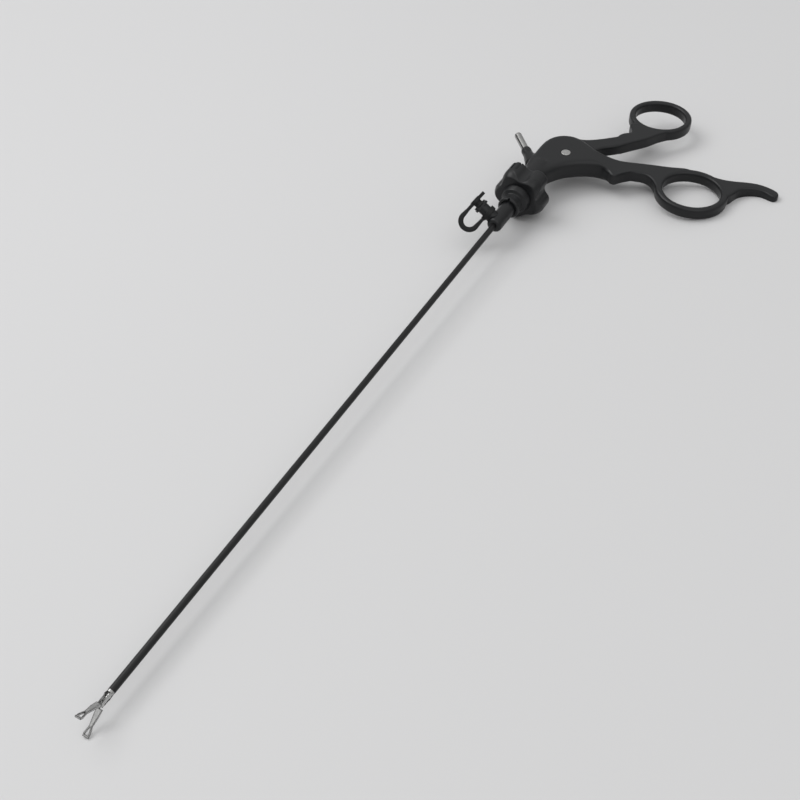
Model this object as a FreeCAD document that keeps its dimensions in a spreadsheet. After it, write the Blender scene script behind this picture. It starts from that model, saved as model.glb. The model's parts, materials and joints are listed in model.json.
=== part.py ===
# Laparoscopic bipolar forceps, 3 mm, as an assembly of separate pieces. Millimetres.
# The origin is on the shaft axis at the nose of the flush housing, where the working length starts.
# +X runs along the shaft to the jaws, the handle lies in the XY plane with its grips towards +Y,
# and +Z is up. The pieces are shown at rest, with the jaws and the handle open.
import FreeCAD, Part
import math
import os
import Sketcher

from FreeCAD import Vector

doc = FreeCAD.newDocument("Forceps")
sheet = doc.addObject("Spreadsheet::Sheet", "Sizes")

# Driving dimensions, one row each: alias and value.
SIZES = {
    # shaft and what runs in it
    "shaft_diameter": 3.0, "sheath_wall": 0.25, "sheath_step": 0.25, "tube_wall": 0.25, "working_length": 301.0,
    "rod_diameter": 1.0, "rod_cover_wall": 0.3, "running_gap": 0.05,
    # flush housing and its side port
    "housing_diameter": 8.0, "housing_length": 25.0, "housing_nose_radius": 2.0,
    "port_station": 4.9, "port_angle": 148.0, "port_diameter": 6.0, "port_height": 11.6,
    "port_bore": 3.0, "lug_diameter": 7.8, "lug_thickness": 1.3, "flush_hole": 1.2,
    "seal_width": 2.0,
    # cap and strap
    "cap_height": 14.9, "cap_bar_thickness": 1.7, "cap_bar_width": 3.2, "cap_bar_back": 6.0,
    "cap_bar_front": 6.4, "cap_neck_diameter": 4.3, "cap_flange_diameter": 7.0, "strap_height": 6.2,
    "strap_reach": 10.4, "strap_ring_diameter": 8.2,
    # rotation knob
    "collar_station": 16.8, "collar_diameter": 11.6, "collar_band": 2.2, "cone_diameter": 16.0,
    "knob_front": 27.0, "knob_thickness": 12.6, "knob_lobes": 5.0, "knob_tip_radius": 14.4,
    "knob_lobe_radius": 4.9, "knob_valley_radius": 10.6, "knob_turn": 47.0, "knob_round": 1.1,
    "knob_front_radius": 9.4, "knob_slope": 6.0, "notch_width": 0.7, "notch_depth": 1.8, "notch_length": 7.0,
    # spindle that carries the shaft in the handle
    "spindle_diameter": 8.0, "spindle_length": 15.6, "clip_width": 0.8, "clip_diameter": 10.4,
    "clip_groove": 6.8, "slip_ring_width": 2.4, "slip_ring_diameter": 9.6, "face_gap": 0.3,
    # handle
    "pivot_back": 69.3, "pivot_side": 8.3, "cheek_thickness": 10.8, "slot_width": 6.7,
    "grip_thickness": 6.6, "edge_round": 1.5, "cheek_round": 3.0, "neck_diameter": 13.2,
    "neck_length": 17.0, "chamber_diameter": 11.2, "screw_diameter": 3.2, "screw_head": 5.0,
    "screw_head_height": 1.2, "nut_diameter": 6.0, "nut_height": 1.6, "bush_wall": 0.7,
    "finger_ring_x": -74.6, "finger_ring_y": 77.1, "finger_long": 15.0, "finger_short": 13.9,
    "thumb_ring_x": -130.4, "thumb_ring_y": 38.7, "thumb_long": 13.7, "thumb_short": 12.4,
    "thumb_turn": 105.0, "ring_band": 3.8, "lever_thickness": 6.4, "hub_radius": 9.0, "socket_radius": 13.3,
    "lever_arm_width": 7.0, "lever_arm_angle": 141.8, "closing_angle": 17.0, "ball_diameter": 4.4,
    # connector
    "boss_diameter": 5.6, "boss_length": 13.0, "pin_diameter": 4.0, "pin_length": 14.6,
    "pin_gap": 0.7, "pin_root_diameter": 3.2, "web_turn": -52.0, "pin_socket": 6.0, "connector_x": -68.0, "connector_y": -14.2,
    "connector_angle": 223.0, "connector_shell": 4.8,
    # jaws
    "ferrule_length": 0.9, "clevis_length": 6.6, "clevis_slot": 1.4, "jaw_pivot_back": 5.0,
    "jaw_pin_diameter": 0.8, "drive_pin_diameter": 0.6, "drive_pin_rest": 1.0,
    "jaw_length": 13.0, "jaw_opening": 30.0, "lug_thick": 0.38, "blade_thickness": 0.5,
    "jaw_root_width": 2.7, "jaw_neck_width": 1.3, "jaw_tip_width": 2.7, "jaw_height": 1.25,
    "jaw_neck_height": 0.7, "cam_wall": 0.27, "tip_bar": 0.75, "jaw_gap": 0.06,
}
for row, (alias, number) in enumerate(SIZES.items(), start=1):
    sheet.set("A%d" % row, alias.replace("_", " "))
    sheet.set("B%d" % row, str(number))
    sheet.setAlias("B%d" % row, alias)
doc.recompute()


def size(alias):
    """The value of one driving dimension, read from the sheet."""
    return float(getattr(sheet, alias))


def bind(obj, **formulas):
    """Bind properties of obj to formulas over the sheet's aliases, written with {alias}."""
    for name, formula in formulas.items():
        obj.setExpression(name, formula.replace("{", "Sizes.").replace("}", ""))
    return obj


ALONG_X = FreeCAD.Rotation(Vector(0, 1, 0), 90)
UPRIGHT = FreeCAD.Rotation()


def place(obj, turn=UPRIGHT, x="0", y="0", z="0"):
    """Turn an object and bind its place to the sheet."""
    obj.Placement = FreeCAD.Placement(Vector(0, 0, 0), turn)
    for axis, formula in (("x", x), ("y", y), ("z", z)):
        if formula != "0":
            bind(obj, **{"Placement.Base." + axis: formula})
    return obj


def cylinder(name, diameter, length, turn=ALONG_X, x="0", y="0", z="0"):
    """A cylinder whose formulas give its diameter, length and start."""
    obj = doc.addObject("Part::Cylinder", name)
    bind(obj, Radius="(%s) / 2" % diameter, Height=length)
    return place(obj, turn, x, y, z)


def box(name, length, width, height, x="0", y="0", z="0", turn=UPRIGHT):
    obj = doc.addObject("Part::Box", name)
    bind(obj, Length=length, Width=width, Height=height)
    return place(obj, turn, x, y, z)


def fuse(name, *pieces):
    obj = doc.addObject("Part::MultiFuse", name)
    obj.Shapes = list(pieces)
    obj.Refine = True
    return obj


def cut(name, base, *tools):
    """The base less its tools."""
    obj = doc.addObject("Part::Cut", name)
    obj.Base = base
    obj.Tool = tools[0] if len(tools) == 1 else fuse(name + "_tools", *tools)
    return obj


def shaped(name, shape, placement=None):
    """A freeform piece that no primitive fits, from a shape made with the sheet's values."""
    obj = doc.addObject("Part::Feature", name)
    obj.Shape = shape
    if placement is not None:
        obj.Placement = placement
    return obj


def turned(name, start, profile):
    """A PartDesign revolution about the X axis. The profile's formulas are distance from the start
    and radius, and its first and last points lie on the axis or on the bore."""
    body = doc.addObject("PartDesign::Body", name)
    sketch = body.newObject("Sketcher::SketchObject", name + "_profile")
    plane = [f for f in body.Origin.OriginFeatures if f.Role == "XY_Plane"][0]
    sketch.AttachmentSupport = [(plane, "")]
    sketch.MapMode = "FlatFace"
    count = len(profile)
    guess = [Vector(1 + i, 2 + (i * i) % 5, 0) for i in range(count)]
    for i in range(count):
        sketch.addGeometry(Part.LineSegment(guess[i], guess[(i + 1) % count]), False)
    sketch_origin, start_point = -1, 1
    for i in range(count):
        sketch.addConstraint(Sketcher.Constraint("Coincident", i, 2, (i + 1) % count, 1))
    for i, (along, radius) in enumerate(profile):
        for kind, on_axis, formula in (("DistanceX", -2, along), ("DistanceY", -1, radius)):
            if formula == "0":
                sketch.addConstraint(Sketcher.Constraint("PointOnObject", i, start_point, on_axis))
            else:
                index = sketch.addConstraint(
                    Sketcher.Constraint(kind, sketch_origin, 1, i, start_point, 1.0))
                bind(sketch, **{"Constraints[%d]" % index: formula})
    revolution = body.newObject("PartDesign::Revolution", name + "_turned")
    revolution.Profile = sketch
    revolution.ReferenceAxis = (sketch, ["H_Axis"])
    revolution.Angle = 360
    if start != "0":
        bind(body, **{"Placement.Base.x": start})
    return body


def spline(points):
    """A smooth edge through the points, in the XY plane."""
    curve = Part.BSplineCurve()
    curve.interpolate([Vector(x, y, 0) for x, y in points])
    return curve.toShape()


def line(a, b):
    return Part.makeLine(Vector(a[0], a[1], 0), Vector(b[0], b[1], 0))


def face_of(*edges):
    return Part.Face(Part.Wire(Part.__sortEdges__(list(edges))))


def ellipse_face(centre, long, short, turn):
    """A flat ellipse whose long half-axis is turned from +X by the angle."""
    edge = Part.Ellipse(Vector(0, 0, 0), long, short).toShape()
    face = Part.Face(Part.Wire([edge]))
    face.rotate(Vector(0, 0, 0), Vector(0, 0, 1), turn)
    face.translate(Vector(centre[0], centre[1], 0))
    return face


def disc_face(centre, radius):
    return Part.Face(Part.Wire([Part.makeCircle(radius, Vector(centre[0], centre[1], 0))]))


def slab(face, thickness):
    """A flat face made into a plate about the XY plane."""
    plate = face.copy()
    plate.translate(Vector(0, 0, -thickness / 2))
    return plate.extrude(Vector(0, 0, thickness))


def rounded(plate, thickness, radius):
    """Round the rims of a plate's two faces, with a smaller radius where the outline is tight."""
    rims = [e for e in plate.Edges
            if all(abs(abs(v.Point.z) - thickness / 2) < 1e-6 for v in e.Vertexes)]
    for share in (1.0, 0.7, 0.45):
        try:
            shape = plate.makeFillet(radius * share, rims)
        except Part.OCCError:
            continue
        if shape.isValid() and 0.5 * plate.Volume < shape.Volume < plate.Volume:
            print("rims rounded to", radius * share)
            return shape
    try:
        shape = plate.makeChamfer(radius * 0.6, rims)
        if shape.isValid():
            print("rims chamfered")
            return shape
    except Part.OCCError:
        pass
    print("rims left sharp")
    return plate


def smooth_face(points):
    """A flat face inside one closed smooth curve through the points."""
    curve = Part.BSplineCurve()
    curve.interpolate([Vector(x, y, 0) for x, y in points], True)
    return Part.Face(Part.Wire([curve.toShape()]))


def ring_plate(centre, long, short, turn, band_width, thickness, radius):
    """An oval finger ring with rounded rims."""
    face = ellipse_face(centre, long + band_width, short + band_width, turn)
    face = face.cut(ellipse_face(centre, long, short, turn))
    return rounded(slab(face, thickness), thickness, radius)


def polar(centre, radius, degrees):
    turn = math.radians(degrees)
    return (centre[0] + radius * math.cos(turn), centre[1] + radius * math.sin(turn))


export = []


def keep(obj, label):
    """Name a finished piece of the forceps."""
    obj.Label = label
    export.append(obj)
    return obj


# Shaft: the outer insulation, the steel tube and the insulated rod, one inside the other.
# The insulation is a step thicker inside the housing, which keeps it from pulling out.
TUBE_DIAMETER = "({shaft_diameter} - 2 * {sheath_wall})"
TUBE_BORE = "({shaft_diameter} - 2 * {sheath_wall} - 2 * {tube_wall})"
SHEATH_BACK = "({housing_length} - {seal_width} - 3)"
SPINDLE_START = "({knob_front} + {knob_thickness} + {spindle_length})"
pivot = (-size("pivot_back"), size("pivot_side"))

port_turn = size("port_angle")
flush_bore = cylinder("FlushBore", "{flush_hole}", "{housing_diameter} / 2",
                      FreeCAD.Rotation(Vector(1, 0, 0), port_turn - 90), "-{port_station}")

sheath_front = cylinder("SheathFront", "{shaft_diameter}", "{working_length}")
sheath_back = cylinder("SheathBack", "{shaft_diameter} + 2 * {sheath_step}", SHEATH_BACK,
                       x="-" + SHEATH_BACK)
sheath_outer = fuse("SheathOuter", sheath_front, sheath_back)
sheath_inner = cylinder("SheathInner", TUBE_DIAMETER, "{working_length} + " + SHEATH_BACK,
                        x="-" + SHEATH_BACK)
keep(cut("Sheath", sheath_outer, sheath_inner, flush_bore), "insulation_sheath")

tube_outer = cylinder("TubeOuter", TUBE_DIAMETER, "{working_length} + " + SPINDLE_START,
                      x="-" + SPINDLE_START)
tube_inner = cylinder("TubeInner", TUBE_BORE, "{working_length} + " + SPINDLE_START,
                      x="-" + SPINDLE_START)
flush_bore_2 = cylinder("FlushBoreTube", "{flush_hole}", "{housing_diameter} / 2",
                        FreeCAD.Rotation(Vector(1, 0, 0), port_turn - 90), "-{port_station}")
keep(cut("Tube", tube_outer, tube_inner, flush_bore_2), "shaft_tube")

# Flush housing: a plain cylinder with a ball nose that grips the sheath, and its side port.
nose = size("housing_nose_radius")
housing_radius = size("housing_diameter") / 2
housing_length = size("housing_length")
shaft_radius = size("shaft_diameter") / 2
sheath_seat = shaft_radius + size("sheath_step")
seal_pocket = size("seal_width")
housing_profile = Part.Wire([
    line((0, sheath_seat), (0, housing_radius - nose)),
    Part.Arc(Vector(0, housing_radius - nose, 0),
             Vector(-nose * (1 - math.sqrt(0.5)), housing_radius - nose * (1 - math.sqrt(0.5)), 0),
             Vector(-nose, housing_radius, 0)).toShape(),
    line((-nose, housing_radius), (-housing_length, housing_radius)),
    line((-housing_length, housing_radius), (-housing_length, sheath_seat)),
    line((-housing_length, sheath_seat), (0, sheath_seat)),
])
housing = Part.Face(housing_profile).revolve(Vector(0, 0, 0), Vector(1, 0, 0), 360)
if not isinstance(housing, Part.Solid):
    housing = Part.Solid(housing.Shells[0]) if housing.ShapeType == "Shell" else housing
port_way = Vector(0, math.cos(math.radians(port_turn)), math.sin(math.radians(port_turn)))
port_hole = Part.makeCylinder(size("port_bore") / 2, size("housing_diameter"),
                              Vector(-size("port_station"), 0, 0), port_way)
seal_r = size("housing_diameter") / 2 - 1.3
seal_room = Part.makeCylinder(seal_r, seal_pocket, Vector(-housing_length, 0, 0), Vector(1, 0, 0))
keep(shaped("Housing", housing.cut([port_hole, seal_room])), "flush_housing")

seal_outer = cylinder("SealOuter", "{housing_diameter} - 2.6", "{seal_width}", x="-{housing_length}")
seal_inner = cylinder("SealInner", TUBE_DIAMETER, "{seal_width}", x="-{housing_length}")
keep(cut("Seal", seal_outer, seal_inner), "housing_seal")

# The port's own frame: Z out along the port, X the way the strap's loop goes.
port_axis = Vector(0, math.cos(math.radians(port_turn)), math.sin(math.radians(port_turn)))
loop_way = Vector(0.7136, -0.371, -0.5936)
loop_way = (loop_way - port_axis * loop_way.dot(port_axis)).normalize()
loop_normal = port_axis.cross(loop_way)
port_frame = FreeCAD.Placement(FreeCAD.Matrix(
    loop_way.x, loop_normal.x, port_axis.x, -size("port_station"),
    loop_way.y, loop_normal.y, port_axis.y, 0,
    loop_way.z, loop_normal.z, port_axis.z, 0,
    0, 0, 0, 1))


def port_cylinder(diameter, low, high):
    return Part.makeCylinder(diameter / 2, high - low, Vector(0, 0, low))


port_height = size("port_height")
port_radius = size("port_diameter") / 2
lug = size("lug_thickness")
lugs = port_cylinder(size("lug_diameter"), port_height - lug, port_height)
lug_flat = size("port_diameter") * 0.98
lugs = lugs.common(Part.makeBox(2 * lug_flat, lug_flat, 2 * port_height,
                                Vector(-lug_flat, -lug_flat / 2, 0)))
port = port_cylinder(size("port_diameter"), 0, port_height).fuse(lugs)
port_step = housing_radius + 0.9
step = port_cylinder(size("port_diameter") + 0.8, 0, port_step)
port = port.fuse(step).cut(port_cylinder(size("port_bore"), -1, port_height + 1))
housing_local = Part.makeCylinder(housing_radius, 60, Vector(-30, 0, 0), Vector(1, 0, 0))
inverse = port_frame.inverse()
housing_local.Placement = inverse.multiply(housing_local.Placement)
port = port.cut(housing_local)
outer_half = Part.makeBox(40, 40, 40, Vector(-20, -20, 1.0))
keep(shaped("Port", port.common(outer_half).removeSplitter(), port_frame), "flush_port")

# Cap: a plug on a flat bar that lies across the port's mouth.
cap_height = size("cap_height")
bar_thick = size("cap_bar_thickness")
bar_width = size("cap_bar_width")
bar = Part.makeBox(size("cap_bar_back") + size("cap_bar_front"), bar_width, bar_thick,
                   Vector(-size("cap_bar_back"), -bar_width / 2, cap_height - bar_thick / 2))
neck = port_cylinder(size("cap_neck_diameter"), port_height + 0.9, cap_height)
flange = port_cylinder(size("cap_flange_diameter"), port_height + 0.1, port_height + 0.9)
plug = Part.makeCone(size("port_bore") / 2 - 0.2, size("port_bore") / 2 - 0.05, 4.0,
                     Vector(0, 0, port_height - 3.9))
crown = port_cylinder(size("cap_neck_diameter") + 1.2, cap_height - bar_thick / 2,
                      cap_height + bar_thick / 2 + 0.3)
cap = bar.multiFuse([neck, flange, plug, crown]).removeSplitter()
keep(shaped("Cap", cap, port_frame), "port_cap")

# Strap: a flat ring round the port and a U-shaped loop up to the end of the cap's bar.
strap_low = size("strap_height")
bend_radius = (cap_height - strap_low) / 2
reach = size("strap_reach")
loop_start = size("cap_bar_front") + 0.1


outer_r, inner_r = bend_radius + bar_thick / 2, bend_radius - bar_thick / 2
loop_centre = (cap_height + strap_low) / 2
bend = Part.makeCylinder(outer_r, bar_width, Vector(reach, -bar_width / 2, loop_centre), Vector(0, 1, 0))
bend = bend.cut(Part.makeCylinder(inner_r, bar_width, Vector(reach, -bar_width / 2, loop_centre),
                                  Vector(0, 1, 0)))
bend = bend.common(Part.makeBox(20, bar_width, 30, Vector(reach, -bar_width / 2, loop_centre - 15)))
top_run = Part.makeBox(reach - loop_start, bar_width, bar_thick,
                       Vector(loop_start, -bar_width / 2, cap_height - bar_thick / 2))
ring_radius = size("strap_ring_diameter") / 2
low_run = Part.makeBox(reach - ring_radius + 0.6, bar_width, bar_thick,
                       Vector(ring_radius - 0.6, -bar_width / 2, strap_low - bar_thick / 2))
ring = port_cylinder(2 * ring_radius, port_step, strap_low + bar_thick / 2 + 0.3)
ring = ring.cut(port_cylinder(size("port_diameter"), 0, 20))
strap = bend.multiFuse([top_run, low_run, ring]).removeSplitter()
keep(shaped("Strap", strap, port_frame), "cap_strap")

# Rotation knob: a collar and cone that hold the housing, and the lobed wheel behind them.
collar = turned("Collar", "-{knob_front}", [
    ("0", "{spindle_diameter} / 2"),
    ("{knob_front} - {collar_station}", "{housing_diameter} / 2"),
    ("{knob_front} - {collar_station}", "{collar_diameter} / 2 - 0.5"),
    ("{knob_front} - {collar_station} - 0.5", "{collar_diameter} / 2"),
    ("{knob_front} - {collar_station} - {collar_band}", "{collar_diameter} / 2"),
    ("{knob_front} - {collar_station} - {collar_band} - 0.6", "{collar_diameter} / 2 - 0.7"),
    ("{knob_front} - {collar_station} - 2 * {collar_band} - 1.6", "{collar_diameter} / 2 - 0.5"),
    ("3.2", "{cone_diameter} / 2 - 1"),
    ("0", "{cone_diameter} / 2"),
])
collar_mouth = cylinder("CollarMouth", "{housing_diameter} + 1", "1.4",
                        x="-{collar_station} - 1.4")
collar_notch = box("CollarNotch", "1.4", "1.2", "3", x="-{collar_station} - 1.4", y="-0.6",
                   z="{collar_diameter} / 2 - 1.2")
keep(cut("CollarCut", collar, collar_mouth, collar_notch), "knob_collar")

lobes = int(size("knob_lobes"))
tip, lobe, valley = size("knob_tip_radius"), size("knob_lobe_radius"), size("knob_valley_radius")
thick = size("knob_thickness")
pitch = 360.0 / lobes
half_pitch = math.radians(pitch / 2)
lobe_centre = tip - lobe
# The valleys are arcs that touch the lobes' arcs, so their radius follows from the other sizes.
scoop = ((lobe ** 2 - valley ** 2 - lobe_centre ** 2 + 2 * lobe_centre * valley * math.cos(half_pitch))
         / (2 * (valley - lobe_centre * math.cos(half_pitch) - lobe)))


def flat(point):
    return Vector(point[0], point[1], 0)


wheel_edges = []
for i in range(lobes):
    turn = size("knob_turn") + i * pitch
    centre = flat(polar((0, 0), lobe_centre, turn))
    before = flat(polar((0, 0), valley + scoop, turn - pitch / 2)) - centre
    after = flat(polar((0, 0), valley + scoop, turn + pitch / 2)) - centre
    next_centre = flat(polar((0, 0), lobe_centre, turn + pitch))
    next_before = flat(polar((0, 0), valley + scoop, turn + pitch / 2)) - next_centre
    touch_1 = centre + before.normalize() * lobe
    touch_2 = centre + after.normalize() * lobe
    touch_3 = next_centre + next_before.normalize() * lobe
    wheel_edges.append(Part.Arc(touch_1, flat(polar((0, 0), tip, turn)), touch_2).toShape())
    wheel_edges.append(
        Part.Arc(touch_2, flat(polar((0, 0), valley, turn + pitch / 2)), touch_3).toShape())
wheel_plate = face_of(*wheel_edges).extrude(Vector(0, 0, thick))
rims = [e for e in wheel_plate.Edges if all(abs(v.Point.z - thick) < 1e-6 for v in e.Vertexes)]
wheel_plate = wheel_plate.makeFillet(size("knob_round"), rims)
# The front of the lobes slopes back from the cone in one round shoulder.
slope, front_radius = size("knob_slope"), size("knob_front_radius")
shoulder = Part.Arc(Vector(front_radius, 0, 0),
                    Vector(tip - (tip - front_radius) * 0.25, 0, slope * 0.46), Vector(tip + 0.2, 0, slope))
envelope = Part.Face(Part.Wire(Part.__sortEdges__([
    Part.makeLine(Vector(0, 0, 0), Vector(front_radius, 0, 0)), shoulder.toShape(),
    Part.makeLine(Vector(tip + 0.2, 0, slope), Vector(tip + 0.2, 0, thick)),
    Part.makeLine(Vector(tip + 0.2, 0, thick), Vector(0, 0, thick)),
    Part.makeLine(Vector(0, 0, thick), Vector(0, 0, 0))]))).revolve(Vector(0, 0, 0), Vector(0, 0, 1), 360)
wheel_plate = wheel_plate.common(envelope)
notch = Part.makeBox(size("notch_width"), size("notch_depth") + 2, size("notch_length"),
                     Vector(-size("notch_width") / 2, tip - size("notch_depth"), thick - size("notch_length")))
notch.rotate(Vector(0, 0, 0), Vector(0, 0, 1), size("knob_turn") + pitch - 90)
wheel_plate = wheel_plate.cut(notch)
wheel_plate = wheel_plate.cut(Part.makeCylinder(size("spindle_diameter") / 2, thick))
wheel_place = FreeCAD.Placement(FreeCAD.Matrix(
    0, 0, -1, -size("knob_front"),
    1, 0, 0, 0,
    0, -1, 0, 0,
    0, 0, 0, 1))
keep(shaped("Knob", wheel_plate.mirror(Vector(0, 0, 0), Vector(0, 1, 0)), wheel_place), "rotation_knob")

# Spindle: runs in the handle's nose, with a groove for the clip that holds it there.
spindle = turned("Spindle", "-" + SPINDLE_START, [
    ("0", TUBE_DIAMETER + " / 2"),
    ("0", "{spindle_diameter} / 2 - 0.4"),
    ("0.4", "{spindle_diameter} / 2"),
    ("1.6", "{spindle_diameter} / 2"),
    ("1.6", "{clip_groove} / 2"),
    ("1.6 + {clip_width}", "{clip_groove} / 2"),
    ("1.6 + {clip_width}", "{spindle_diameter} / 2"),
    (SPINDLE_START + " - {housing_length}", "{spindle_diameter} / 2"),
    (SPINDLE_START + " - {housing_length}", TUBE_DIAMETER + " / 2"),
])
keep(spindle, "spindle")

clip_outer = cylinder("ClipOuter", "{clip_diameter}", "{clip_width}", x="1.6 - " + SPINDLE_START)
clip_inner = cylinder("ClipInner", "{clip_groove}", "{clip_width}", x="1.6 - " + SPINDLE_START)
clip_mouth = box("ClipMouth", "{clip_width}", "{clip_groove} * 0.7", "{clip_diameter}",
                 x="1.6 - " + SPINDLE_START, y="-{clip_groove} * 0.35")
keep(cut("Clip", clip_outer, clip_inner, clip_mouth), "retaining_clip")

slip_outer = cylinder("SlipOuter", "{slip_ring_diameter}", "{slip_ring_width}",
                      x="2.6 + {clip_width} - " + SPINDLE_START)
slip_inner = cylinder("SlipInner", "{spindle_diameter}", "{slip_ring_width}",
                      x="2.6 + {clip_width} - " + SPINDLE_START)
keep(cut("SlipRing", slip_outer, slip_inner), "slip_ring")

# Push rod: from the drive pin's blade back to the ball in the thumb lever.
BLADE_START = "({working_length} + 0.9)"
rod = cylinder("Rod", "{rod_diameter}", BLADE_START + " + {pivot_back} - {ball_diameter} / 2 + 0.4",
               x="-{pivot_back} + {ball_diameter} / 2 - 0.4")
keep(rod, "push_rod")
cover_outer = cylinder("RodCoverOuter", "{rod_diameter} + 2 * {rod_cover_wall}",
                       "{working_length} - 3.6 + {pivot_back} - 6", x="6 - {pivot_back}")
cover_inner = cylinder("RodCoverInner", "{rod_diameter}", "{working_length} - 3.6 + {pivot_back} - 6",
                       x="6 - {pivot_back}")
keep(cut("RodCover", cover_outer, cover_inner), "rod_insulation")
ball = doc.addObject("Part::Sphere", "Ball")
bind(ball, Radius="{ball_diameter} / 2")
place(ball, x="-{pivot_back}")
rod_seat = cylinder("RodSeat", "{rod_diameter}", "{ball_diameter}",
                    x="-{pivot_back} + {ball_diameter} / 2 - 0.4")
keep(cut("BallCut", ball, rod_seat), "rod_ball")

# Jaw end: ferrule, slotted clevis, pins and the rod's blade.
tip_x = size("working_length")
clevis_r = shaft_radius - 0.05
ferrule = size("ferrule_length")
clevis_end = tip_x + size("clevis_length")
jaw_x = tip_x + size("jaw_pivot_back")
jaw_pin_r = size("jaw_pin_diameter") / 2
drive_r = size("drive_pin_diameter") / 2
gap = size("running_gap")
slot_half = size("clevis_slot") / 2
travel = size("pivot_side") * math.radians(size("closing_angle"))
drive_x = jaw_x - size("drive_pin_rest")

ferrule_outer = cylinder("FerruleOuter", "{shaft_diameter} - 0.06", "{ferrule_length}", x="{working_length}")
ferrule_inner = cylinder("FerruleInner", "{shaft_diameter} - 1.0", "{ferrule_length}",
                         x="{working_length}")
keep(cut("Ferrule", ferrule_outer, ferrule_inner), "tip_ferrule")


def along_y(radius, x, low, high, z=0.0):
    return Part.makeCylinder(radius, high - low, Vector(x, low, z), Vector(0, 1, 0))


spigot = Part.makeCylinder(shaft_radius - 0.5, ferrule + 4.0, Vector(tip_x - 3.0, 0, 0), Vector(1, 0, 0))
clevis = Part.makeCone(clevis_r + 0.02, clevis_r - 0.05, size("clevis_length") - ferrule,
                       Vector(tip_x + ferrule, 0, 0), Vector(1, 0, 0))
clevis = clevis.fuse(spigot)
slot = Part.makeBox(clevis_end - tip_x, 2 * slot_half, 4, Vector(tip_x + 0.5, -slot_half, -2))
rod_way = Part.makeCylinder(size("rod_diameter") / 2 + 0.15, 9, Vector(tip_x - 4, 0, 0), Vector(1, 0, 0))
pin_way = Part.makeBox(travel + 0.2, 4, 2 * (drive_r + gap), Vector(drive_x - travel - 0.1, -2, -(drive_r + gap)))
pin_way = pin_way.fuse([along_y(drive_r + gap, drive_x - travel - 0.1, -2, 2),
                        along_y(drive_r + gap, drive_x + 0.1, -2, 2)])
ear_round = Part.makeCylinder(clevis_r, 4, Vector(clevis_end - clevis_r, -2, 0), Vector(0, 1, 0))
ear_keep = Part.makeBox(clevis_end - clevis_r - tip_x + 4, 4, 4, Vector(tip_x - 4, -2, -2)).fuse(ear_round)
clevis = clevis.common(ear_keep).cut([slot, rod_way, pin_way, along_y(jaw_pin_r, jaw_x, -2, 2)])
keep(shaped("Clevis", clevis.removeSplitter()), "clevis")

keep(shaped("JawPin", along_y(jaw_pin_r, jaw_x, -clevis_r + 0.08, clevis_r - 0.08)), "jaw_pin")
keep(shaped("DrivePin", along_y(drive_r, drive_x, -clevis_r + 0.12, clevis_r - 0.12)), "drive_pin")

blade_half = size("blade_thickness") / 2
yoke_r = 0.42
washer = along_y(size("drive_pin_rest") - yoke_r - 0.02, jaw_x, -blade_half, blade_half).cut(along_y(jaw_pin_r, jaw_x, -2, 2))
keep(shaped("Washer", washer), "jaw_insulator")
blade_back = tip_x + 0.9
blade = Part.makeBox(drive_x - blade_back, 2 * blade_half, 0.9, Vector(blade_back, -blade_half, -0.45))
blade = blade.fuse(along_y(yoke_r, drive_x, -blade_half, blade_half))
keep(shaped("Blade", blade.cut(along_y(drive_r, drive_x, -2, 2)).removeSplitter()), "rod_yoke")


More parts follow.
